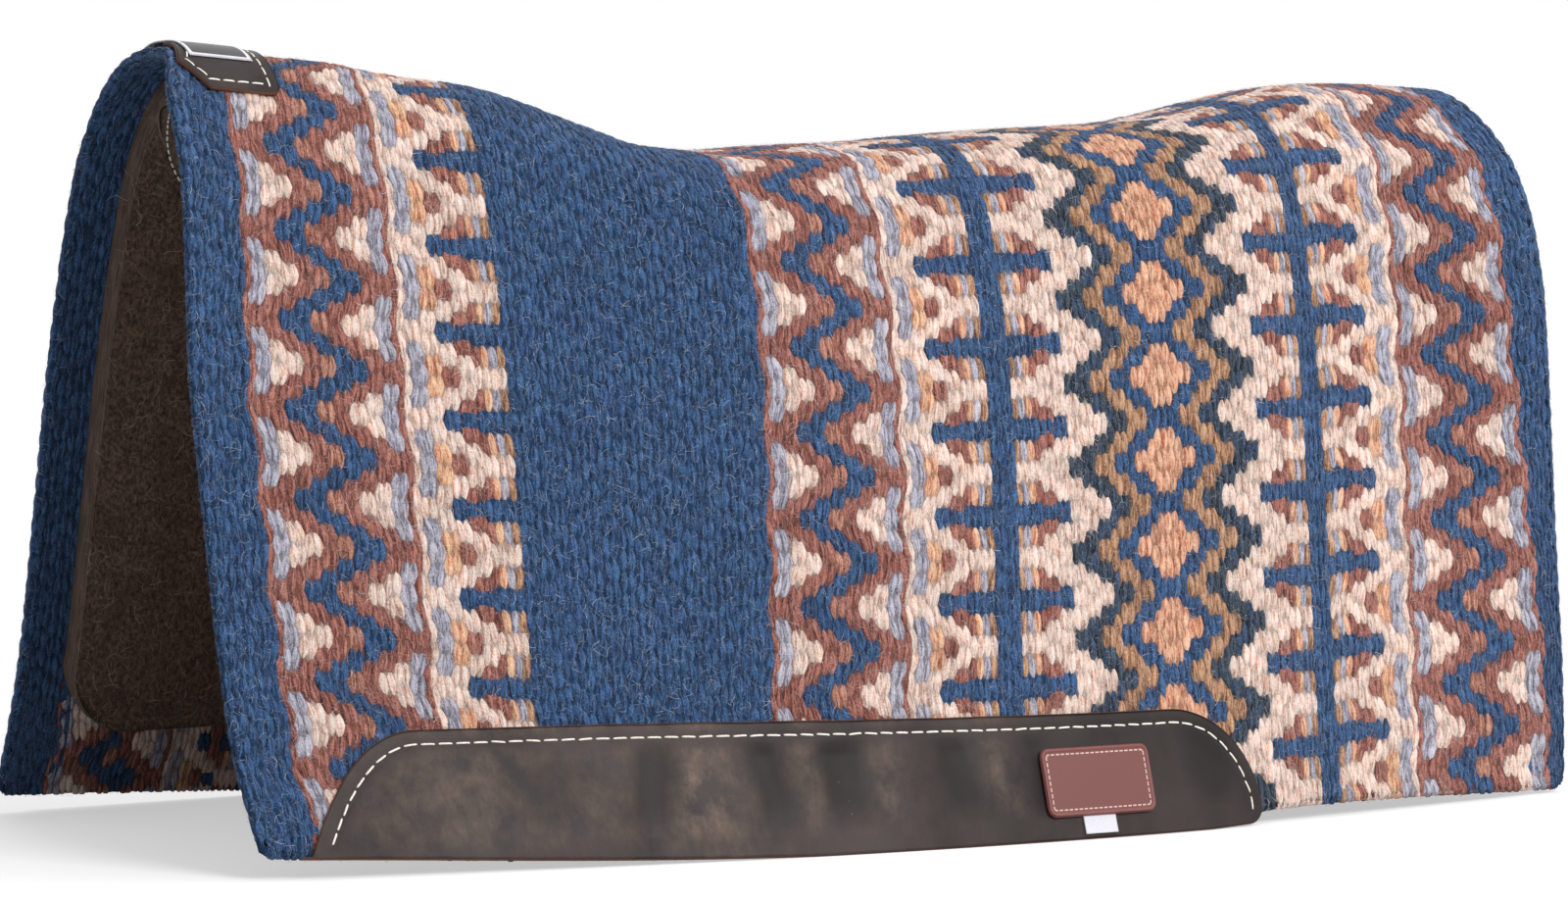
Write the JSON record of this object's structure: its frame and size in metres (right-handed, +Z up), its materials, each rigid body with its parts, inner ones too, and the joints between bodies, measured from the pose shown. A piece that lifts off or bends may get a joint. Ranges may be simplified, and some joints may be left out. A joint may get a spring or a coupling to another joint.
{
  "type": "saddle pad",
  "caption": "Western saddle pad: a patterned wool blanket over thick felt, laid in an arch, with leather wear strips and a leather patch over the withers.",
  "frame": {"origin": "on the ground plane, under the middle of the pad's length and width", "axes": "+X from the withers to the rear, +Z up, -Y the left side of the horse"},
  "size_m": [0.864, 0.4648, 0.4309],
  "materials": {
    "blanket_wool": "matte",
    "felt_wool": "matte",
    "wear_leather": "satin",
    "label_weave": "matte",
    "badge_moulded": "satin"
  },
  "bodies": {
    "root": {"blanket_top": "blanket_wool", "felt_liner": "felt_wool", "dart_cover": "felt_wool", "wear_leather_left": "wear_leather", "wear_leather_right": "wear_leather", "wither_patch": "wear_leather", "wither_label": "label_weave", "badge": "badge_moulded", "tab_label": "label_weave"}
  },
  "joints": []
}
